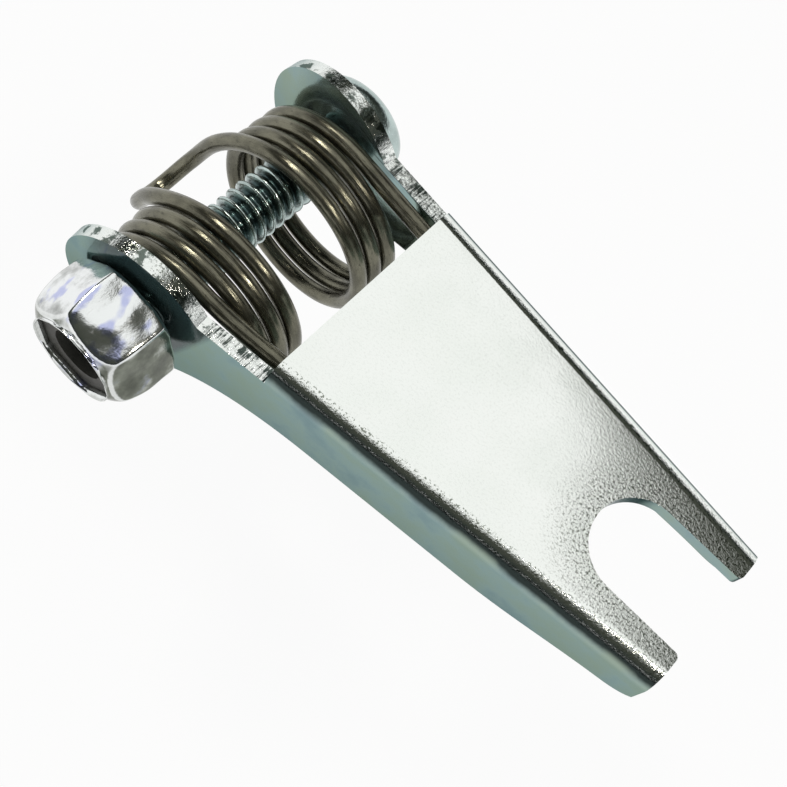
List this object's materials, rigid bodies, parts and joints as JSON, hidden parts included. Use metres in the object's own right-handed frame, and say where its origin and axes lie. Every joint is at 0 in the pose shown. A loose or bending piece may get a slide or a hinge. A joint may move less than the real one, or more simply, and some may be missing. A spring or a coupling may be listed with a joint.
{
  "type": "hoist hook latch",
  "caption": "Sprung safety latch for a hoist hook: folded sheet with a forked tip, swinging on a bolt and lock nut.",
  "frame": {"origin": "on the bolt's axis, midway between the latch's two ears, where the hook's lug sits", "axes": "+X towards the forked tip, +Y along the bolt to its head, +Z out of the web's outer face"},
  "size_m": [0.0556, 0.0327, 0.0186],
  "materials": {
    "zinc_sheet": "bright zinc plate",
    "zinc_bolt": "bright zinc plate",
    "nut_steel": "bright plate",
    "locking_plastic": "matte nylon",
    "spring_wire": "dark oiled wire"
  },
  "bodies": {
    "pivot": {"pivot_bolt": "zinc_bolt", "lock_nut": "nut_steel", "nut_insert": "locking_plastic"},
    "latch": {"latch_plate": "zinc_sheet", "torsion_spring": "spring_wire"}
  },
  "joints": [
    {"name": "latch_swing", "type": "hinge", "parent": "pivot", "child": "latch", "pos_m": [0, 0, 0], "axis": [0, 1, 0], "range_deg": [0, 60], "stiffness_Nm_per_rad": 0.4, "springref_deg": -11.46, "deforming": ["torsion_spring"]}
  ]
}
